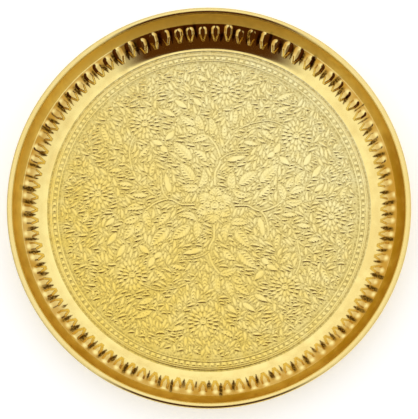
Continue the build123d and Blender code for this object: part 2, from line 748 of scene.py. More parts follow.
@dataclass(frozen=True)
class Flutes:
    """Ring of ridges pressed inwards in the wall, pointed below and round above, each a little different.

    A place on the wall is the distance up it from the floor's edge, the angle about the plate's axis and
    the distance from the axis. The fields that end in vary say how much of a seeded difference goes into
    a size.
    """

    count: int = 90
    start: float = 6.0
    length: float = 9.8
    half_width: float = 2.0
    height: float = 0.74
    side: float = 2.3
    point: float = 4.5
    point_width: float = 0.25
    foot_rise: float = 0.8
    head: float = 1.4
    length_vary: float = 0.5
    place_vary: float = 0.2
    aside_vary: float = 0.8
    crease_width: float = 1.5
    crease_point: float = 4.0
    crease_least: float = 0.01
    crease_fade: float = 4.5
    crease_lead: float = 1.0
    crease_reach: float = 1.2
    crease_edge: float = 1.4
    crease_width_vary: float = 1.5
    crease_place_vary: float = 0.4
    crease_slant_vary: float = 0.5
    unevenness: float = 0.16
    seed: int = 5

    @cached_property
    def chances(self) -> Array:
        """Small seeded differences of each flute and of the valley after it, one column a flute."""
        return np.random.default_rng(self.seed).normal(0.0, self.unevenness, (8, self.count))

    def from_ridge(self, up: Array, angle: Array, radius: Array) -> tuple[Array, Array, Array, Array]:
        """Places as seen from the ridge nearest to each.

        Args:
            up: Distance up the wall from the floor's edge.
            angle: Angle about the plate's axis.
            radius: Distance from the plate's axis.

        Returns:
            Distance along the ridge from its point, distance across it, and the ridge's own length and
            its own gain in height.
        """
        pitch = tau / self.count
        order = np.round(angle / pitch).astype(int)
        taller, longer, aside, higher = self.chances[:4, np.mod(order, self.count)]
        along = up - self.start - self.length * self.place_vary * higher
        across = (angle - order * pitch) * radius - self.half_width * self.aside_vary * aside
        return along, across, self.length * (1.0 + self.length_vary * longer), taller

    def pressed(self, up: Array, angle: Array, radius: Array) -> Array:
        """Height of the ridges over the wall.

        Seen square on, a ridge widens from its point to its full width and closes in a round head. Its
        side eases up to a level crown, with half of the side's width on each side of the outline.

        Args:
            up: Distance up the wall from the floor's edge.
            angle: Angle about the plate's axis.
            radius: Distance from the plate's axis.

        Returns:
            Height in millimetres at each place.
        """
        along, across, length, taller = self.from_ridge(up, angle, radius)
        widening = self.point_width + (1.0 - self.point_width) * along / self.point
        half = self.half_width * np.clip(widening, 0.0, 1.0)
        past = np.maximum(along - length + self.half_width, 0.0)
        inside = np.minimum(half - np.hypot(across, past), self.foot_rise * along)
        share = np.clip(inside / self.side + 0.5, 0.0, 1.0)
        return self.height * (1.0 + taller) * smooth_step(share)

    def crests(self, up: Array, angle: Array, radius: Array) -> Array:
        """Height of the ridges as a share of their full height, at most 1."""
        return np.clip(self.pressed(up, angle, radius) / self.height, 0.0, 1.0)

    def heads(self, up: Array, angle: Array, radius: Array) -> Array:
        """Bright spots of wear and painted highlight on the ridges' round upper ends, 0 to 1, bell-shaped
        both ways.
        """
        along, across, length, _ = self.from_ridge(up, angle, radius)
        return bell(across, 0.0, self.head) * bell(along, length - self.head / 2, self.head)

    def creases(self, up: Array, angle: Array, radius: Array) -> Array:
        """Dark dashes of painted shade in the valleys between the ridges.

        A dash starts in a point at the ridges' lower ends, widens over a short way and fades out towards
        the lip. Each has its own length, width, place and slant.

        Args:
            up: Distance up the wall from the floor's edge.
            angle: Angle about the plate's axis.
            radius: Distance from the plate's axis.

        Returns:
            Darkness from 0 to 1 at each place.
        """
        pitch = tau / self.count
        order = np.floor(angle / pitch).astype(int)
        wider, longer, aside, slant = self.chances[4:, np.mod(order, self.count)]
        along = up - self.start + self.crease_lead - self.length * self.crease_place_vary * longer
        leaning = self.half_width * aside + self.crease_slant_vary * slant * along
        across = (angle - (order + 0.5) * pitch) * radius - leaning
        half = self.crease_width * (1.0 + self.crease_width_vary * wider)
        half = half * np.clip(along / self.crease_point, self.crease_least, 1.0)
        fade = smooth_step((self.length * (self.crease_reach + longer) - along) / self.crease_fade)
        return smooth_step(self.crease_edge * (1.0 - np.abs(across) / half)) * fade * (along > 0.0)


@dataclass(frozen=True)
class SheetSection:
    """Section of the pressed sheet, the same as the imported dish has.

    The upper face runs flat from the middle, turns up in a bend, climbs the wall in a straight flare,
    turns steeper in the lip's arc and goes round the wire. Stations are lengths along it from the axis.
    """

    outer_radius: float
    height: float
    sheet: float = 0.8
    wall_width: float = 22.1
    bend_radius: float = 5.0
    lip_radius: float = 14.0
    lip_slope: float = radians(82.0)
    roll_inner: float = 1.15
    roll_slit: float = 0.4

    @cached_property
    def roll_outer(self) -> float:
        """Outside radius of the roll."""
        return self.roll_inner + self.sheet

    @cached_property
    def roll_centre(self) -> Point:
        """Centre of the roll's section, where the wire lies."""
        return self.outer_radius - self.roll_outer, self.height - self.roll_outer

    @cached_property
    def roll_turn(self) -> float:
        """How far the roll turns from the lip to its free end, negative outwards."""
        return acos((self.roll_inner - self.roll_slit) / self.roll_outer) - tau

    @cached_property
    def foot_radius(self) -> float:
        """Radius where the flare would meet the floor if there were no bend."""
        return self.outer_radius - self.wall_width

    @cached_property
    def lip_from_foot(self) -> Point:
        """Centre of the lip's arc as seen from the flare's foot, outwards and up."""
        reach = self.roll_outer + self.lip_radius
        x, z = self.roll_centre
        out = x - reach * sin(self.lip_slope) - self.foot_radius
        return out, z + reach * cos(self.lip_slope) - self.sheet

    @cached_property
    def wall_slope(self) -> float:
        """Slope of the flare, which touches the lip's arc."""
        out, up = self.lip_from_foot
        return atan2(up, out) - asin(self.lip_radius / hypot(out, up))

    @cached_property
    def bend_reach(self) -> float:
        """How far the bend takes in the floor and the flare on each side of the foot."""
        return self.bend_radius * tan(self.wall_slope / 2)

    @cached_property
    def floor_end(self) -> float:
        """Station where the flat floor ends and the bend begins."""
        return self.foot_radius - self.bend_reach

    @cached_property
    def wall_start(self) -> float:
        """Station where the bend ends and the flare begins."""
        return self.floor_end + self.bend_radius * self.wall_slope

    @cached_property
    def lip_start(self) -> float:
        """Station where the flare turns into the lip."""
        touch = sqrt(hypot(*self.lip_from_foot) ** 2 - self.lip_radius**2)
        return self.wall_start + touch - self.bend_reach

    @cached_property
    def lip_end(self) -> float:
        """Station where the lip runs into the roll."""
        return self.lip_start + self.lip_radius * (self.lip_slope - self.wall_slope)

    def up_wall(self, station: Array) -> Array:
        """Distance up the flare from the floor's edge."""
        return station - self.wall_start + self.bend_reach

    def upper(self, station: Array) -> tuple[Array, Array, Array]:
        """Upper face of the plain sheet.

        Args:
            station: Lengths along the face from the axis.

        Returns:
            Radius, height and slope of the face at each station.
        """
        bend = np.clip((station - self.floor_end) / self.bend_radius, 0.0, self.wall_slope)
        flare = np.clip(station - self.wall_start, 0.0, self.lip_start - self.wall_start)
        lip = self.wall_slope + np.clip((station - self.lip_start) / self.lip_radius, 0.0, None)
        radius = np.minimum(station, self.floor_end) + self.bend_radius * np.sin(bend)
        radius = radius + flare * cos(self.wall_slope)
        radius = radius + self.lip_radius * (np.sin(lip) - sin(self.wall_slope))
        height = self.sheet + self.bend_radius * (1.0 - np.cos(bend))
        height = height + flare * sin(self.wall_slope)
        height = height + self.lip_radius * (cos(self.wall_slope) - np.cos(lip))
        return radius, height, bend + lip - self.wall_slope

    def roll(self, radius: Array, turn: Array) -> tuple[Array, Array]:
        """Radius and height of the roll's faces, turned from where the lip meets it."""
        x, z = self.roll_centre
        return x - radius * np.sin(self.lip_slope + turn), z + radius * np.cos(self.lip_slope + turn)


@dataclass(frozen=True)
class WallTone:
    """How deep the brass's tone is on the wall and the lip, from 0 for pale to 1 for deep.

    The tone deepens as the wall climbs past the flutes, less so on their crests. It is deeper in the
    creases, a painted shade, and paler on the heads, partly wear and partly a painted highlight. On the
    lip the deep tone is a painted reflection of the gold floor, and it changes evenly across the plate,
    a painted light gradient, up to a limit.
    """

    foot: float = 0.12
    climb: float = 0.83
    climb_lead: float = 1.0
    climb_span: float = 0.9
    crest: float = 0.35
    # Painted shade in the creases, and on the heads a highlight that is partly wear and partly painted
    crease: float = 0.5
    head: float = 0.75
    # The lip's deep tone is a painted reflection of the gold floor, and its drift a painted light gradient
    lip: float = 0.7
    lip_light_drift: Point = (0.0022, -0.0056)
    lip_limit: float = 0.85

    def on_flare(self, flutes: Flutes, place: Place) -> Array:
        """Tone on the flare, with painted shade in the creases and a partly painted highlight on the heads.

        Args:
            flutes: The ring of flutes.
            place: Distance up the wall, angle and distance from the axis.

        Returns:
            The tone at each place.
        """
        way = place[0] - flutes.start + self.climb_lead
        climb = self.climb * smooth_step(way / (self.climb_span * flutes.length))
        tone = self.foot + climb * (1.0 - self.crest * flutes.crests(*place))
        # Painted shade in the creases, and on the heads a highlight that is partly wear and partly painted
        return tone + self.crease * flutes.creases(*place) - self.head * flutes.heads(*place)

    def on_lip(self, x: Array, y: Array) -> Array:
        """Tone on the lip: a painted reflection of the gold floor, with a painted light gradient across the
        plate.
        """
        return np.minimum(self.lip + self.lip_light_drift[0] * x + self.lip_light_drift[1] * y, self.lip_limit)


@dataclass
class DishSurface:
    """Both faces of the finished sheet: the section turned about the axis, embossed and fluted.

    The underside shows the floor's relief from behind, softer and shallower, and follows every flute.
    """

    section: SheetSection
    flutes: Flutes
    border: Border
    pattern: FloralField
    wall_tone: WallTone
    relief_height: float = 0.32
    moat_depth: float = 0.12
    softness: float = 0.15
    ground_level: float = 0.5
    # Tarnish and painted shade on the pattern's ground and in the moats round its motifs
    ground_tarnish_and_shade: float = 0.5
    moat_tarnish_and_shade: float = 0.7
    ghost: float = 0.45
    ghost_softness: float = 0.7
    ghost_clean: float = 0.6
    floor_tone: float = 0.58
    # A painted light gradient across the floor
    floor_light_drift: Point = (-0.0032, -0.0042)
    seam: float = 0.4
    under_tone: float = 0.5
    map_margin: float = 0.5

    def __post_init__(self) -> None:
        """Presses pattern and border into one relief and keeps its upper, under and recess fields."""
        relief = ReliefMap(self.section.floor_end + self.map_margin)
        self.pattern.stamp(relief)
        x, y = np.meshgrid(relief.axis, relief.axis)
        rho, angle = np.hypot(x, y), np.arctan2(y, x)
        in_field = rho < self.pattern.reach
        raised = np.where(in_field, relief.height, self.border.height(rho, angle))
        recess = np.where(in_field, relief.recess, self.border.sunk(rho, angle))
        shape = self.relief_height * raised - self.moat_depth * np.where(in_field, relief.recess, 0.0)
        ground = np.clip(1.0 - relief.blurred(raised, self.softness) / self.ground_level, 0.0, 1.0)
        moats = relief.blurred(recess, self.softness)
        self.map = relief
        self.embossed = relief.blurred(shape, self.softness) - self.border.groove(rho)
        self.behind = np.maximum(0.0, self.ghost * relief.blurred(shape, self.ghost_softness))
        # Tarnish and painted shade where the floor lies low
        self.sunk = np.clip(self.ground_tarnish_and_shade * ground + self.moat_tarnish_and_shade * moats, 0.0, 1.0)

    def floor_upper(self, x: Array, y: Array) -> Array:
        """Points of the floor's upper face."""
        return np.stack([x, y, self.section.sheet + self.map.sampled(self.embossed, x, y)], axis=-1)

    def floor_under(self, x: Array, y: Array) -> Array:
        """Points of the floor's underside."""
        return np.stack([x, y, self.map.sampled(self.behind, x, y)], axis=-1)

    def place_on_wall(self, x: Array, y: Array, station: Array) -> Place:
        """Distance up the wall, angle about the axis and distance from the axis."""
        return self.section.up_wall(station), np.arctan2(y, x), np.hypot(x, y)

    def upper_recess(self, x: Array, y: Array, station: Array) -> Array:
        """Where the colour darkens above: tarnish and painted shade on the pattern's ground, painted
        shade in the creases, and tarnish in the seam under the roll.

        Args:
            x: X of the points.
            y: Y of the points.
            station: Each point's station.

        Returns:
            The recess at each point, from 0 to 1.
        """
        ground = self.map.sampled(self.sunk, x, y)
        crease = self.flutes.creases(*self.place_on_wall(x, y, station))
        seam = smooth_step(1.0 - (self.section.lip_end - station) / self.seam)
        return np.where(station < self.section.floor_end, ground, np.maximum(crease, seam))

    def under_recess(self, x: Array, y: Array, station: Array) -> Array:
        """Where tarnish gathers below: the flat ground beside the pattern, and the flutes' hollows.

        Args:
            x: X of the points.
            y: Y of the points.
            station: Each point's station.

        Returns:
            The recess at each point, from 0 to 1.
        """
        clean = self.ghost_clean * self.behind.max()
        flat = np.clip(1.0 - self.map.sampled(self.behind, x, y) / clean, 0.0, 1.0)
        hollow = self.flutes.crests(*self.place_on_wall(x, y, station))
        return np.where(station < self.section.floor_end, flat, hollow)

    def upper_tone(self, x: Array, y: Array, station: Array) -> Array:
        """How deep the tone is above: it drifts across the floor, a painted light gradient, and follows
        the wall's own rule.

        Args:
            x: X of the points.
            y: Y of the points.
            station: Each point's station.

        Returns:
            The tone at each point, from 0 to 1.
        """
        # Painted light gradient: the floor's tone deepens towards the left and the front
        floor = self.floor_tone + self.floor_light_drift[0] * x + self.floor_light_drift[1] * y
        flare = self.wall_tone.on_flare(self.flutes, self.place_on_wall(x, y, station))
        wall = np.where(station > self.section.lip_start, self.wall_tone.on_lip(x, y), flare)
        return np.clip(np.where(station < self.section.floor_end, floor, wall), 0.0, 1.0)

    def marks(self, points: Array, station: Array, upper_count: int) -> dict[Mark, Array]:
        """Marks of age on a piece.

        Args:
            points: The piece's points, those of the upper face first.
            station: Each point's station.
            upper_count: How many of the points lie on the upper face.

        Returns:
            The marks, from 0 to 1 at each point.
        """
        place = points[:, 0], points[:, 1], station
        upper = np.arange(len(points)) < upper_count
        recess = np.where(upper, self.upper_recess(*place), self.under_recess(*place))
        return {Mark.RECESS: recess, Mark.DEEPER: np.where(upper, self.upper_tone(*place), self.under_tone)}

    def swept(self, station: Array, angle: Array, depth: float, emboss: Array) -> Array:
        """Points of one face of the sheet over stations and angles.

        Args:
            station: Lengths along the upper face from the axis.
            angle: Angles about the axis.
            depth: Distance of the face below the upper face.
            emboss: Height field that is added on the flat floor.

        Returns:
            The points, with a last axis of X, Y and Z.
        """
        radius, height, slope = self.section.upper(station)
        dent = depth - self.flutes.pressed(self.section.up_wall(station), angle, radius)
        radius = radius + dent * np.sin(slope)
        height = height - dent * np.cos(slope)
        x, y = radius * np.cos(angle), radius * np.sin(angle)
        on_floor = station < self.section.floor_end
        height = height + np.where(on_floor, self.map.sampled(emboss, x, y), 0.0)
        return np.stack([x, y, height], axis=-1)

    def upper(self, station: Array, angle: Array) -> Array:
        """Points of the upper face."""
        return self.swept(station, angle, 0.0, self.embossed)

    def under(self, station: Array, angle: Array) -> Array:
        """Points of the underside."""
        return self.swept(station, angle, self.section.sheet, self.behind)


Face = Callable[[Array, Array], Array]


def crossed(first: Array, second: Array) -> Array:
    """Unit vectors square to two fields of vectors."""
    square = np.cross(first, second)
    return square / np.linalg.norm(square, axis=-1, keepdims=True)


def ring_quads(rows: int, columns: int) -> Array:
    """Corner numbers of a grid that closes on itself both ways, row after row.

    Args:
        rows: Rows of the grid.
        columns: Columns of the grid.

    Returns:
        Four corner numbers for each cell.
    """
    row, column = np.meshgrid(np.arange(rows), np.arange(columns), indexing="ij")
    next_row, next_column = (row + 1) % rows, (column + 1) % columns
    corners = [(row, column), (next_row, column), (next_row, next_column), (row, next_column)]
    return np.stack([r * columns + c for r, c in corners], axis=-1).reshape(-1, 4)


def turned(radius: Array, height: Array, angle: Array) -> Array:
    """Carries a profile round the axis.

    Args:
        radius: Distance of the profile's places from the axis.
        height: Height of the profile's places.
        angle: Angles about the axis.

    Returns:
        X, Y and Z of each point, all angles of one place after another.
    """
    rho, z = radius[:, None], height[:, None]
    parts = np.broadcast_arrays(rho * np.cos(angle), rho * np.sin(angle), z)
    return np.stack(parts, axis=-1).reshape(-1, 3)


@dataclass
class Piece:
    """Arrays of one mesh before it becomes an object."""

    name: str
    part: Part
    points: Array
    normals: Array
    faces: list[list[int]]
    finish_of_face: Array
    marks: dict[Mark, Array]

    def made(self, finishes: list[bpy.types.Material]) -> bpy.types.Object:
        """Makes the object, with its materials, its marks as attributes and its shading normals.

        Args:
            finishes: The materials, in the order that the faces number them.

        Returns:
            The object, linked to the scene.
        """
        mesh = bpy.data.meshes.new(self.name)
        mesh.from_pydata(self.points * MM, [], self.faces, shade_flat=False)
        for finish in finishes:
            mesh.materials.append(finish)
        mesh.polygons.foreach_set("material_index", self.finish_of_face.astype(np.int32))
        for mark, values in self.marks.items():
            layer = mesh.attributes.new(mark.value, "FLOAT", "POINT")
            layer.data.foreach_set("value", values.astype(np.float32))
        mesh.normals_split_custom_set_from_vertices(self.normals)
        mesh.update()
        piece = bpy.data.objects.new(self.name, mesh)
        bpy.context.scene.collection.objects.link(piece)
        return piece


class NodeBench:
    """A node tree with short ways to add to it."""

    def __init__(self, tree: bpy.types.NodeTree) -> None:
        """Takes the tree to work on."""
        self.tree = tree

    def add(self, kind: str, inputs: dict, **settings: object) -> bpy.types.Node:
        """Adds one shader node.

        Args:
            kind: The node's type, without the leading ShaderNode.
            inputs: What each input gets, by name or number: a socket to link or a value to set.
            settings: The node's own properties, set before its inputs.

        Returns:
            The node.
        """
        node = self.tree.nodes.new("ShaderNode" + kind)
        for key, value in settings.items():
            setattr(node, key, value)
        for key, value in inputs.items():
            if isinstance(value, bpy.types.NodeSocket):
                self.tree.links.new(value, node.inputs[key])
            else:
                node.inputs[key].default_value = value
        return node

    def math(self, operation: str, *values: Socket | float) -> Socket:
        """Adds one sum and gives its result."""
        return self.add("Math", dict(enumerate(values)), operation=operation).outputs[0]

    def vector(self, operation: str, inputs: dict) -> bpy.types.NodeOutputs:
        """Adds one sum of vectors and gives its outputs."""
        return self.add("VectorMath", inputs, operation=operation).outputs

    def spread(self, value: Socket, start: float, end: float) -> Socket:
        """Eases from 0 to 1 as a value goes from start to end."""
        inputs = {"Value": value, "From Min": start, "From Max": end}
        return self.add("MapRange", inputs, interpolation_type="SMOOTHSTEP").outputs["Result"]

    def mixed(self, share: Socket, first: Socket | Colour, second: Socket | Colour) -> Socket:
        """Mixes two colours, the second by a share that is held between 0 and 1."""
        # A Mix node's colours go into numbers 6 and 7, and the mixed colour comes out of number 2
        inputs = {0: share, 6: first, 7: second}
        return self.add("Mix", inputs, data_type="RGBA", clamp_factor=True).outputs[2]


class Effect(NodeBench):
    """A shader node group with named inputs and outputs, built once and placed in several finishes."""

    def __init__(self, name: str, inputs: dict[str, str], outputs: dict[str, str]) -> None:
        """Makes the empty group.

        Args:
            name: The group's name.
            inputs: Socket type of each input.
            outputs: Socket type of each output.
        """
        super().__init__(bpy.data.node_groups.new(name, "ShaderNodeTree"))
        for label, kind in inputs.items():
            self.tree.interface.new_socket(label, in_out="INPUT", socket_type="NodeSocket" + kind)
        for label, kind in outputs.items():
            self.tree.interface.new_socket(label, in_out="OUTPUT", socket_type="NodeSocket" + kind)
        self.source = self.tree.nodes.new("NodeGroupInput").outputs
        self.sink = self.tree.nodes.new("NodeGroupOutput").inputs
        self.place = self.add("TexCoord", {}).outputs["Object"]

    def noise(self, scale: Socket | float, detail: float) -> Socket:
        """Adds noise over the piece's own coordinates and gives its value."""
        return self.add("TexNoise", {"Vector": self.place, "Scale": scale, "Detail": detail}).outputs["Fac"]

    def give(self, label: str, socket: Socket) -> None:
        """Sends a socket out of the group."""
        self.tree.links.new(socket, self.sink[label])

    def put_in(self, bench: NodeBench, inputs: dict) -> bpy.types.NodeOutputs:
        """Places the group in a material and gives its outputs."""
        return bench.add("Group", inputs, node_tree=self.tree).outputs


@dataclass
class BrassEffects:
    """The effects that the brass finishes share, each a node group that is built once."""

    cloud_ratio: float = 9.0
    cloud_details: Point = (3.0, 4.0)
    cloud_limits: Point = (0.36, 0.64)
    cloud_share: float = 0.3
    grain_rate: float = 900.0
    grain_detail: float = 2.0
    grain_limits: Point = (0.3, 0.7)
    grain_least: float = 0.4
    line_drift: float = 1.5
    line_detail: float = 3.0
    dot_scatter: float = 0.8
    dot_limits: Point = (0.1, 0.6)
    scratch_turns: Point = (radians(24.0), radians(-61.0))
    scratch_stretch: tuple[float, float, float] = (1.0, 40.0, 4.0)
    scratch_detail: float = 2.0
    scratch_limits: Point = (0.62, 0.72)

    def __post_init__(self) -> None:
        """Builds every group once."""
        self.tone = self.make_tone()
        self.tarnish_and_shade = self.make_tarnish_and_shade()
        self.spun = self.make_spun()
        self.stipple = self.make_stipple()
        self.scratches = self.make_scratches()

    def make_tone(self) -> Effect:
        """Brass colour that drifts between a pale and a deep tone in soft clouds of two sizes.

        Returns:
            The group, which gives the colour and the clouds.
        """
        effect = Effect(
            "brass_tone",
            {"Pale": "Color", "Deep": "Color", "Cloud Scale": "Float", "Deeper": "Float"},
            {"Color": "Color", "Cloud": "Float"},
        )
        source = effect.source
        wide = effect.noise(source["Cloud Scale"], self.cloud_details[0])
        finer = effect.math("MULTIPLY", source["Cloud Scale"], self.cloud_ratio)
        small = effect.noise(finer, self.cloud_details[1])
        both = effect.math("MULTIPLY_ADD", small, 0.5, effect.math("MULTIPLY", wide, 0.5))
        cloud = effect.spread(both, *self.cloud_limits)
        least = effect.math("SUBTRACT", source["Deeper"], self.cloud_share / 2)
        tone = effect.math("MULTIPLY_ADD", cloud, self.cloud_share, least)
        effect.give("Color", effect.mixed(tone, source["Pale"], source["Deep"]))
        effect.give("Cloud", cloud)
        return effect

    def make_tarnish_and_shade(self) -> Effect:
        """Colour that darkens in the recesses towards tarnish and painted shade, broken up by fine noise.

        Returns:
            The group, which gives the colour and the mask of tarnish and painted shade.
        """
        effect = Effect(
            "recess_tarnish_and_shade",
            {"Color": "Color", "Tarnish and Shade": "Color", "Recess": "Float", "Amount": "Float"},
            {"Color": "Color", "Mask": "Float"},
        )
        source = effect.source
        grain = effect.spread(effect.noise(self.grain_rate, self.grain_detail), *self.grain_limits)
        broken = effect.math("MULTIPLY_ADD", grain, 1.0 - self.grain_least, self.grain_least)
        darkened = effect.math("MULTIPLY", source["Recess"], broken)
        mask = effect.math("MULTIPLY", darkened, source["Amount"])
        effect.give("Color", effect.mixed(mask, source["Color"], source["Tarnish and Shade"]))
        effect.give("Mask", mask)
        return effect

    def make_spun(self) -> Effect:
        """Fine lines round the plate's axis, left by polishing it as it turns.

        The noise runs fast with the distance from the axis and with height, and slowly with direction.

        Returns:
            The group, which gives the lines' height.
        """
        effect = Effect("spun_lines", {"Lines per Metre": "Float"}, {"Height": "Float"})
        rate = effect.source["Lines per Metre"]
        parts = effect.add("SeparateXYZ", {0: effect.place}).outputs
        level = effect.add("CombineXYZ", {0: parts[0], 1: parts[1]}).outputs[0]
        radius = effect.vector("LENGTH", {0: level})["Value"]
        way = effect.vector("NORMALIZE", {0: level})[0]
        slow = effect.vector("SCALE", {0: way, "Scale": self.line_drift})[0]
        lifted = effect.add("CombineXYZ", {2: effect.math("MULTIPLY", parts[2], rate)}).outputs[0]
        vector = effect.vector("ADD", {0: slow, 1: lifted})[0]
        run = effect.math("MULTIPLY", radius, rate)
        inputs = {"Vector": vector, "W": run, "Scale": 1.0, "Detail": self.line_detail}
        effect.give("Height", effect.add("TexNoise", inputs, noise_dimensions="4D").outputs["Fac"])
        return effect

    def make_stipple(self) -> Effect:
        """Small punched dots over the recessed ground.

        Returns:
            The group, which gives the dots' height.
        """
        sources = {"Recess": "Float", "Dots per Metre": "Float"}
        effect = Effect("punched_ground", sources, {"Height": "Float"})
        rate = effect.source["Dots per Metre"]
        inputs = {"Vector": effect.place, "Scale": rate, "Randomness": self.dot_scatter}
        dots = effect.spread(effect.add("TexVoronoi", inputs).outputs["Distance"], *self.dot_limits)
        effect.give("Height", effect.math("MULTIPLY", dots, effect.source["Recess"]))
        return effect

    def make_scratches(self) -> Effect:
        """Hairline scratches in two crossing directions, from noise drawn out along each.

        Returns:
            The group, which gives the scratches' depth.
        """
        effect = Effect("hair_scratches", {"Length Scale": "Float"}, {"Height": "Float"})
        scale = effect.source["Length Scale"]
        lines = []
        for turn in self.scratch_turns:
            drawn = {"Vector": effect.place, "Rotation": (0.0, 0.0, turn), "Scale": self.scratch_stretch}
            mapped = effect.add("Mapping", drawn).outputs[0]
            inputs = {"Vector": mapped, "Scale": scale, "Detail": self.scratch_detail}
            noise = effect.add("TexNoise", inputs).outputs["Fac"]
            lines.append(effect.spread(noise, *self.scratch_limits))
        effect.give("Height", effect.math("MAXIMUM", *lines))
        return effect


@dataclass(frozen=True)
class BrassFinish:
    """One finish of the brass: its colours, its polish and the marks in its surface.

    Depths are metres, and rates are counts in a metre.
    """

    name: str
    pale: Colour = (1.0, 0.9, 0.46, 1.0)
    deep: Colour = (0.98, 0.74, 0.17, 1.0)
    # Colour the recesses darken towards: tarnish, and painted shade in the creases, on the floor's ground
    # and low on the roll
    tarnish_and_shade: Colour = (0.42, 0.27, 0.05, 1.0)
    tarnish_and_shade_amount: float = 0.0
    polish: float = 0.12
    dull: float = 0.2
    line_depth: float = 0.0
    dot_depth: float = 0.0
    scratch_depth: float = 0.0
    cloud_scale: float = 14.0
    line_rate: float = 2600.0
    dot_rate: float = 900.0
    scratch_scale: float = 60.0

    def material(self, effects: BrassEffects) -> bpy.types.Material:
        """Makes the material.

        Args:
            effects: The shared node groups.

        Returns:
            A metal whose colour, roughness and bump come from the groups.
        """
        made = bpy.data.materials.new(self.name)
        made.use_nodes = True
        bench = NodeBench(made.node_tree)
        shader = made.node_tree.nodes["Principled BSDF"].inputs
        shader["Metallic"].default_value = 1.0
        recess = bench.add("Attribute", {}, attribute_name=Mark.RECESS.value).outputs["Fac"]
        deeper = bench.add("Attribute", {}, attribute_name=Mark.DEEPER.value).outputs["Fac"]
        inputs = {"Pale": self.pale, "Deep": self.deep, "Cloud Scale": self.cloud_scale, "Deeper": deeper}
        tone = effects.tone.put_in(bench, inputs)
        inputs = {"Color": tone["Color"], "Tarnish and Shade": self.tarnish_and_shade, "Recess": recess}
        darkened = effects.tarnish_and_shade.put_in(bench, {**inputs, "Amount": self.tarnish_and_shade_amount})
        inputs = {"Value": tone["Cloud"], "To Min": self.polish, "To Max": self.dull}
        rough = bench.add("MapRange", inputs).outputs["Result"]
        bump = bench.add("Bump", {"Height": self.relief(bench, effects, recess), "Distance": 1.0})
        made.node_tree.links.new(darkened["Color"], shader["Base Color"])
        made.node_tree.links.new(rough, shader["Roughness"])
        made.node_tree.links.new(bump.outputs["Normal"], shader["Normal"])
        return made

    def relief(self, bench: NodeBench, effects: BrassEffects, recess: Socket) -> Socket:
        """Adds up the fine marks in the surface.

        Args:
            bench: The material's nodes.
            effects: The shared node groups.
            recess: Where the surface lies low.

        Returns:
            Height of lines, dots and scratches together.
        """
        spun = effects.spun.put_in(bench, {"Lines per Metre": self.line_rate})["Height"]
        dots = effects.stipple.put_in(bench, {"Recess": recess, "Dots per Metre": self.dot_rate})["Height"]
        hairs = effects.scratches.put_in(bench, {"Length Scale": self.scratch_scale})["Height"]
        height = bench.math("MULTIPLY", spun, self.line_depth)
        height = bench.math("MULTIPLY_ADD", dots, self.dot_depth, height)
        return bench.math("MULTIPLY_ADD", hairs, -self.scratch_depth, height)


FINISHES: dict[Part, BrassFinish] = {
    # On the floor the darkening in the recesses is partly tarnish and partly painted shade
    Part.FLOOR: BrassFinish(
        "embossed_floor_brass",
        tarnish_and_shade=(0.34, 0.235, 0.05, 1.0), tarnish_and_shade_amount=0.78,
        polish=0.28, dull=0.38, dot_depth=0.00003, scratch_depth=0.000004,
    ),
    # The wall's near-black colour in its recesses is painted shade in the creases between the flutes
    Part.WALL: BrassFinish(
        "polished_wall_brass",
        pale=(0.99, 0.81, 0.31, 1.0), deep=(0.58, 0.31, 0.04, 1.0),
        tarnish_and_shade=(0.07, 0.03, 0.002, 1.0), tarnish_and_shade_amount=1.4,
        polish=0.08, dull=0.15, line_depth=0.000006, scratch_depth=0.000003,
    ),
    # The lip's deep orange colour is a painted reflection of the gold floor
    Part.LIP: BrassFinish(
        "lip_brass",
        pale=(1.0, 0.71, 0.15, 1.0), deep=(0.52, 0.27, 0.012, 1.0),
        tarnish_and_shade=(0.2, 0.12, 0.02, 1.0), tarnish_and_shade_amount=0.8,
        polish=0.5, dull=0.6, line_depth=0.000006,
    ),
    # On the rolled edge the darkening is tarnish along the seam and painted shade low on the outer side
    Part.RIM: BrassFinish(
        "rolled_edge_brass",
        pale=(0.9, 0.74, 0.33, 1.0), deep=(0.86, 0.62, 0.16, 1.0),
        tarnish_and_shade=(0.2, 0.13, 0.02, 1.0), tarnish_and_shade_amount=0.9,
        line_depth=0.000006, scratch_depth=0.000003,
    ),
    Part.UNDERSIDE: BrassFinish(
        "underside_brass",
        tarnish_and_shade=(0.3, 0.19, 0.04, 1.0), tarnish_and_shade_amount=0.45,
        polish=0.25, dull=0.4, line_depth=0.00001, scratch_depth=0.000006,
    ),
    Part.WIRE: BrassFinish("drawn_wire_brass", polish=0.3, dull=0.45, scratch_depth=0.000006),
}


@dataclass(frozen=True)
class FloorRing:
    """One ring of the floor's field: its name, its outer radius and its steps round the axis."""

    name: str
    end: float
    columns: int


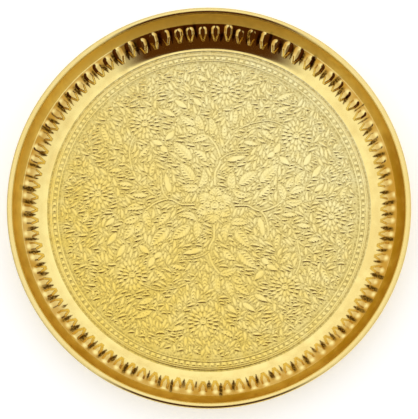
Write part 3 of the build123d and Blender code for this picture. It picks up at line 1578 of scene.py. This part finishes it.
@dataclass
class Dish:
    """The pressed dish, meshed as a disc in the middle and seven rings round it.

    The rings are three for the floor's field, then the border, the wall, the lip and the roll. Rows are
    counted on the upper face and on the underside, and for the roll outside and inside.
    """

    surface: DishSurface
    centre_radius: float = 40.0
    centre_cells: int = 264
    floor_rings: tuple[FloorRing, ...] = (
        FloorRing("dish_floor_inner", 60.0, 1200),
        FloorRing("dish_floor_middle", 78.0, 1400),
        FloorRing("dish_floor_outer", 95.0, 1440),
    )
    floor_rows: Rows = (55, 12)
    border_rows: Rows = (40, 10)
    bend_rows: int = 11
    flare_rows: Rows = (43, 14)
    wall_columns: int = 1440
    lip_rows: Rows = (24, 12)
    lip_columns: int = 1080
    lip_lap: float = 0.5
    roll_rows: Rows = (40, 24)
    roll_columns: int = 720
    roll_tone: float = 0.35
    roll_seam: Point = (0.0, 0.05)
    # Painted shade low on the roll's outer side: where it lies, and its level and swing round the plate
    roll_outer_shade: Point = (1.0, 0.3)
    outer_shade_level: float = 0.55
    outer_shade_swing: float = 0.45
    probe: float = 0.08

    def centre(self) -> Piece:
        """The middle of the floor, on a square grid drawn out to a disc.

        The underside has half as many cells each way, and five-cornered faces join the two rims.

        Returns:
            The disc's arrays.
        """
        cells = self.centre_cells
        upper, upper_normals = self.disc(cells, self.surface.floor_upper)
        under, under_normals = self.disc(cells // 2, self.surface.floor_under)
        fine, coarse = self.square_quads(cells), self.square_quads(cells // 2)[:, ::-1] + len(upper)
        rim, base = self.square_rim(cells), self.square_rim(cells // 2) + len(upper)
        walls = np.stack([rim[0::2], base, np.roll(base, -1), np.roll(rim, -2)[0::2], rim[1::2]], axis=-1)
        faces = [*fine.tolist(), *coarse.tolist(), *walls.tolist()]
        points = np.concatenate([upper, under])
        finish = np.concatenate([np.zeros(len(fine)), np.ones(len(coarse) + len(walls))])
        normals = np.concatenate([upper_normals, -under_normals])
        marks = self.surface.marks(points, np.hypot(points[:, 0], points[:, 1]), len(upper))
        return Piece("dish_floor_centre", Part.FLOOR, points, normals, faces, finish, marks)

    def disc(self, cells: int, face: Face) -> tuple[Array, Array]:
        """One face of the middle disc.

        A place (u, v) of the square goes to x = u * root(1 - v * v / 2) and y = v * root(1 - u * u / 2).

        Args:
            cells: Cells along each side of the square.
            face: Gives the face's points over X and Y.

        Returns:
            Points and upward normals, row after row.
        """
        share = np.linspace(-1.0, 1.0, cells + 1)
        u, v = np.meshgrid(share, share)
        x = self.centre_radius * (u * np.sqrt(1.0 - v * v / 2)).ravel()
        y = self.centre_radius * (v * np.sqrt(1.0 - u * u / 2)).ravel()
        along_x = face(x + self.probe, y) - face(x - self.probe, y)
        along_y = face(x, y + self.probe) - face(x, y - self.probe)
        return face(x, y), crossed(along_x, along_y)

    @staticmethod
    def square_quads(cells: int) -> Array:
        """Corner numbers of a square grid's cells, facing up.

        Args:
            cells: Cells along each side of the square.

        Returns:
            Four corner numbers for each cell.
        """
        row, column = np.meshgrid(np.arange(cells), np.arange(cells), indexing="ij")
        first = (row * (cells + 1) + column).ravel()
        return np.stack([first, first + 1, first + cells + 2, first + cells + 1], axis=-1)

    @staticmethod
    def square_rim(cells: int) -> Array:
        """Point numbers round a square grid's rim.

        Args:
            cells: Cells along each side of the square.

        Returns:
            The numbers, counter-clockwise from above.
        """
        side, width = np.arange(cells), cells + 1
        south, east = side, side * width + cells
        north, west = cells * width + cells - side, (cells - side) * width
        return np.concatenate([south, east, north, west])

    def ring(self, name: str, part: Part, upper: Array, under: Array, columns: int) -> Piece:
        """A closed ring of the sheet between two stations.

        Its section is the upper face outwards and the underside back again, carried round the axis.

        Args:
            name: The piece's name.
            part: The part whose finish its upper face has.
            upper: Stations of the upper face's rows, from the inside out.
            under: Stations of the underside's rows, from the inside out.
            columns: Steps round the axis.

        Returns:
            The ring's arrays.
        """
        angle = np.arange(columns) * tau / columns
        top, top_normals = self.face(self.surface.upper, upper, angle)
        back, back_normals = self.face(self.surface.under, under[::-1], angle)
        rows = len(upper) + len(under)
        points = np.concatenate([top, back]).reshape(-1, 3)
        normals = np.concatenate([top_normals, -back_normals]).reshape(-1, 3)
        finish = np.repeat(np.arange(rows) >= len(upper) - 1, columns).astype(int)
        station = np.repeat(np.concatenate([upper, under[::-1]]), columns)
        marks = self.surface.marks(points, station, len(upper) * columns)
        return Piece(name, part, points, normals, ring_quads(rows, columns).tolist(), finish, marks)

    def face(self, face: Face, stations: Array, angle: Array) -> tuple[Array, Array]:
        """One face of a ring over a grid of stations and angles.

        Args:
            face: Gives the face's points over stations and angles.
            stations: The rows' stations.
            angle: The columns' angles.

        Returns:
            Points and upward normals, with axes for rows, columns and X, Y and Z.
        """
        s, a = np.meshgrid(stations, angle, indexing="ij")
        turn = self.probe / np.maximum(s, 1.0)
        outwards = face(s + self.probe, a) - face(s - self.probe, a)
        around = face(s, a + turn) - face(s, a - turn)
        return face(s, a), crossed(outwards, around)

    def plain_ring(self, name: str, part: Part, span: Point, rows: Rows, columns: int) -> Piece:
        """A ring with evenly spaced rows.

        Args:
            name: The piece's name.
            part: The part whose finish its upper face has.
            span: Stations where the ring starts and ends.
            rows: Rows on the upper face and on the underside.
            columns: Steps round the axis.

        Returns:
            The ring's arrays.
        """
        upper, under = (np.linspace(*span, count) for count in rows)
        return self.ring(name, part, upper, under, columns)

    def fields(self) -> list[Piece]:
        """The floor's outer rings of leaves, flowers and scrolls, with cells of about the same size.

        Returns:
            The rings' arrays from the inside out.
        """
        made = []
        start = self.centre_radius
        for ring in self.floor_rings:
            span = start, ring.end
            made.append(self.plain_ring(ring.name, Part.FLOOR, span, self.floor_rows, ring.columns))
            start = ring.end
        return made

    def border(self) -> Piece:
        """The barred border and the pressed line at the floor's edge."""
        span = self.floor_rings[-1].end, self.surface.section.floor_end
        return self.plain_ring("dish_border", Part.FLOOR, span, self.border_rows, self.wall_columns)

    def wall(self) -> Piece:
        """The bend and the wall with its flutes, from the floor to just past the lip's start.

        Returns:
            The wall's arrays.
        """
        section = self.surface.section
        end = section.lip_start + self.lip_lap
        bend = np.linspace(section.floor_end, section.wall_start, self.bend_rows)
        flare = np.linspace(section.wall_start, end, self.flare_rows[0])[1:]
        under = np.linspace(section.floor_end, end, self.flare_rows[1])
        return self.ring("dish_wall", Part.WALL, np.concatenate([bend, flare]), under, self.wall_columns)

    def lip(self) -> Piece:
        """The steep lip from the wall to the roll."""
        span = self.surface.section.lip_start + self.lip_lap, self.surface.section.lip_end
        return self.plain_ring("dish_lip", Part.LIP, span, self.lip_rows, self.lip_columns)

    def roll(self) -> Piece:
        """The edge rolled round the wire: the outside of the roll and the inside back again.

        Both are arcs about the wire, carried round the axis. Tarnish lies in a line where the roll meets
        the lip, and painted shade lies low on its outer side, there mostly on the left.

        Returns:
            The roll's arrays.
        """
        section = self.surface.section
        rows_outside, rows_inside = self.roll_rows
        angle = np.arange(self.roll_columns) * tau / self.roll_columns
        outside = np.linspace(0.0, section.roll_turn, rows_outside)
        turn = np.concatenate([outside, np.linspace(section.roll_turn, 0.0, rows_inside)])
        is_outside = np.arange(len(turn)) < rows_outside
        radius, height = section.roll(np.where(is_outside, section.roll_outer, section.roll_inner), turn)
        facing, tilt = np.where(is_outside, 1.0, -1.0), section.lip_slope + turn
        points = turned(radius, height, angle)
        normals = turned(-facing * np.sin(tilt), facing * np.cos(tilt), angle)
        seam = bell(-turn / pi, *self.roll_seam) * is_outside
        # Painted shade low on the roll's outer side, deeper on the left
        outer_shade = bell(-turn / pi, *self.roll_outer_shade) * is_outside
        recess = seam[:, None] + outer_shade[:, None] * (self.outer_shade_level - self.outer_shade_swing * np.cos(angle))
        marks = {
            Mark.RECESS: np.clip(recess, 0.0, 1.0).ravel(),
            Mark.DEEPER: np.full(len(points), self.roll_tone),
        }
        finish = np.repeat(~is_outside, self.roll_columns).astype(int)
        faces = ring_quads(len(turn), self.roll_columns).tolist()
        return Piece("dish_rim", Part.RIM, points, normals, faces, finish, marks)

    def dressed(self, dressing: dict[Part, bpy.types.Material]) -> list[bpy.types.Object]:
        """Makes every ring of the dish from the middle out, in its finish.

        Args:
            dressing: The material of each part.

        Returns:
            The objects, which ride with the dish and stand in for its CAD node.
        """
        pieces = [self.centre(), *self.fields(), self.border(), self.wall(), self.lip(), self.roll()]
        objects = []
        for piece in pieces:
            made = piece.made([dressing[piece.part], dressing[Part.UNDERSIDE]])
            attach(made, BODY)
            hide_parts("dish")
            objects.append(made)
        return objects


@dataclass(frozen=True)
class RimWire:
    """The wire hoop inside the rolled edge, which keeps its CAD mesh."""

    node: str = "rim_wire"

    def dressed(self, dressing: dict[Part, bpy.types.Material]) -> bpy.types.Object:
        """Gives the hoop its finish.

        Args:
            dressing: The material of each part.

        Returns:
            The hoop.
        """
        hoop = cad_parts[self.node]
        hoop.data.materials.clear()
        hoop.data.materials.append(dressing[Part.WIRE])
        return hoop


@dataclass(frozen=True)
class Studio:
    """White light tent round the plate, open in front, over a pale floor.

    The tent's level changes with elevation, given as pairs of degrees and level, and leans a little
    across it. The opening is a dark patch of directions to both sides of the front. A dark gap runs
    round the horizon, wider in front and on the right.
    """

    levels: tuple[Point, ...] = ((0.0, 1.0), (90.0, 1.08))
    lean: Point = (-0.04, 0.04)
    half_width: float = radians(33.0)
    highest: float = radians(78.0)
    softness: float = radians(6.0)
    side_softness: float = radians(8.0)
    gap: float = radians(7.1)
    gap_front: float = radians(2.8)
    gap_right: float = radians(1.5)
    gap_softness: float = radians(2.5)
    opening: Colour = (0.08, 0.028, 0.005, 1.0)
    floor_reach: float = 3.0
    floor_colour: Colour = (0.9, 0.9, 0.9, 1.0)
    floor_lift: float = 0.34
    floor_gap: float = 0.0003

    def light(self) -> None:
        """Makes the world: white for the camera, and the tent with its opening for everything else."""
        world = bpy.data.worlds.new("studio")
        bpy.context.scene.world = world
        world.use_nodes = True
        bench = NodeBench(world.node_tree)
        way = bench.add("TexCoord", {}).outputs["Generated"]
        x, y, z = bench.add("SeparateXYZ", {0: way}).outputs
        elevation = bench.math("ARCSINE", z)
        seen = bench.add("LightPath", {}).outputs["Is Camera Ray"]
        side = bench.math("MULTIPLY_ADD", y, self.lean[1], 1.0)
        side = bench.math("MULTIPLY_ADD", x, self.lean[0], side)
        tone = bench.vector("SCALE", {0: self.tent(bench, elevation), "Scale": side})[0]
        lit = bench.mixed(seen, tone, WHITE)
        unseen = bench.math("SUBTRACT", 1.0, seen)
        dark = bench.math("MULTIPLY", self.darkness(bench, x, y, elevation), unseen)
        colour = bench.mixed(dark, lit, self.opening)
        world.node_tree.links.new(colour, world.node_tree.nodes["Background"].inputs["Color"])

    def tent(self, bench: NodeBench, elevation: Socket) -> Socket:
        """The tent's level over elevation.

        Args:
            bench: The world's nodes.
            elevation: Elevation of the direction looked in.

        Returns:
            The level as a colour.
        """
        tent = bench.add("ValToRGB", {0: bench.math("DIVIDE", elevation, pi / 2)})
        ramp = tent.color_ramp.elements
        while len(ramp) < len(self.levels):
            ramp.new(0.5)
        for stop, (degree, level) in zip(ramp, self.levels):
            stop.position = radians(degree) / (pi / 2)
            stop.color = (level, level, level, 1.0)
        return tent.outputs[0]

    def darkness(self, bench: NodeBench, x: Socket, y: Socket, elevation: Socket) -> Socket:
        """Where the opening and the gap round the horizon are.

        Args:
            bench: The world's nodes.
            x: X of the direction looked in.
            y: Y of the direction looked in.
            elevation: Elevation of the direction looked in.

        Returns:
            A mask from 0 to 1.
        """
        aside = bench.math("ABSOLUTE", bench.math("ARCTAN2", x, bench.math("MULTIPLY", y, -1.0)))
        width, soft = self.half_width, self.side_softness
        within = bench.spread(aside, width + soft, width - soft)
        below = bench.spread(elevation, self.highest + self.softness, self.highest - self.softness)
        brink = bench.math("MULTIPLY_ADD", y, -self.gap_front, self.gap)
        brink = bench.math("MULTIPLY_ADD", x, self.gap_right, brink)
        ring = bench.spread(bench.math("SUBTRACT", elevation, brink), self.gap_softness, -self.gap_softness)
        return bench.math("MAXIMUM", bench.math("MULTIPLY", within, below), ring)

    def floor(self) -> bpy.types.Object:
        """Makes the pale floor, which keeps the plate's shadow and can be seen through from below.

        Returns:
            The floor.
        """
        reach = self.floor_reach
        square = (-reach, -reach), (reach, -reach), (reach, reach), (-reach, reach)
        corners = [(x, y, -self.floor_gap) for x, y in square]
        mesh = bpy.data.meshes.new("floor")
        mesh.from_pydata(corners, [], [(0, 1, 2, 3)])
        mesh.materials.append(self.floor_finish())
        floor = bpy.data.objects.new("floor", mesh)
        bpy.context.scene.collection.objects.link(floor)
        return floor

    def floor_finish(self) -> bpy.types.Material:
        """A matt white that is lifted towards paper white wherever it is looked at.

        Returns:
            The material.
        """
        made = bpy.data.materials.new("pale_floor")
        made.use_nodes = True
        tree = made.node_tree
        tree.nodes.remove(tree.nodes["Principled BSDF"])
        bench = NodeBench(tree)
        path = bench.add("LightPath", {}).outputs
        shows = bench.math("MAXIMUM", path["Is Camera Ray"], path["Is Glossy Ray"])
        shows = bench.math("MAXIMUM", shows, path["Is Transmission Ray"])
        lift = bench.math("MULTIPLY", shows, self.floor_lift)
        matt = bench.add("BsdfDiffuse", {"Color": self.floor_colour}).outputs[0]
        glow = bench.add("Emission", {"Strength": lift}).outputs[0]
        above = bench.add("AddShader", {0: matt, 1: glow}).outputs[0]
        below = bench.add("BsdfTransparent", {}).outputs[0]
        back = bench.add("NewGeometry", {}).outputs["Backfacing"]
        shader = bench.add("MixShader", {0: back, 1: above, 2: below}).outputs[0]
        tree.links.new(shader, tree.nodes["Material Output"].inputs["Surface"])
        return made


@dataclass(frozen=True)
class ViewPoint:
    """Camera in front of the plate, looking almost straight down at its edge's middle."""

    elevation: float = radians(82.8)
    distance: float = 1.5
    field_width: float = 0.2623
    aim: tuple[float, float, float] = (0.0, -0.0021, 0.020)
    sensor: float = 36.0

    def make(self) -> None:
        """Makes the camera and gives it to the scene."""
        data = bpy.data.cameras.new("camera")
        data.sensor_fit = "HORIZONTAL"
        data.sensor_width = self.sensor
        data.lens = self.sensor * self.distance / self.field_width
        camera = bpy.data.objects.new("camera", data)
        away = Vector((0.0, -cos(self.elevation), sin(self.elevation)))
        camera.location = Vector(self.aim) + self.distance * away
        camera.rotation_euler = away.to_track_quat("Z", "Y").to_euler()
        bpy.context.scene.collection.objects.link(camera)
        bpy.context.scene.camera = camera


def main() -> None:
    """Builds the plate piece by piece, then the stage, the light and the camera."""
    logging.basicConfig(level=logging.INFO, format="%(message)s")
    effects = BrassEffects()
    dressing = {part: finish.material(effects) for part, finish in FINISHES.items()}
    low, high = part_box("dish")
    section = SheetSection((high.x - low.x) / 2 / MM, (high.z - low.z) / MM)
    surface = DishSurface(section, Flutes(), Border(), FloralField(), WallTone())
    for made in Dish(surface).dressed(dressing):
        log.info("%s: %d faces", made.name, len(made.data.polygons))
    hoop = RimWire().dressed(dressing)
    log.info("%s: %d faces", hoop.name, len(hoop.data.polygons))
    studio = Studio()
    studio.light()
    studio.floor()
    ViewPoint().make()
    bpy.context.scene.view_settings.view_transform = "Standard"


if __name__ == "__main__":
    main()
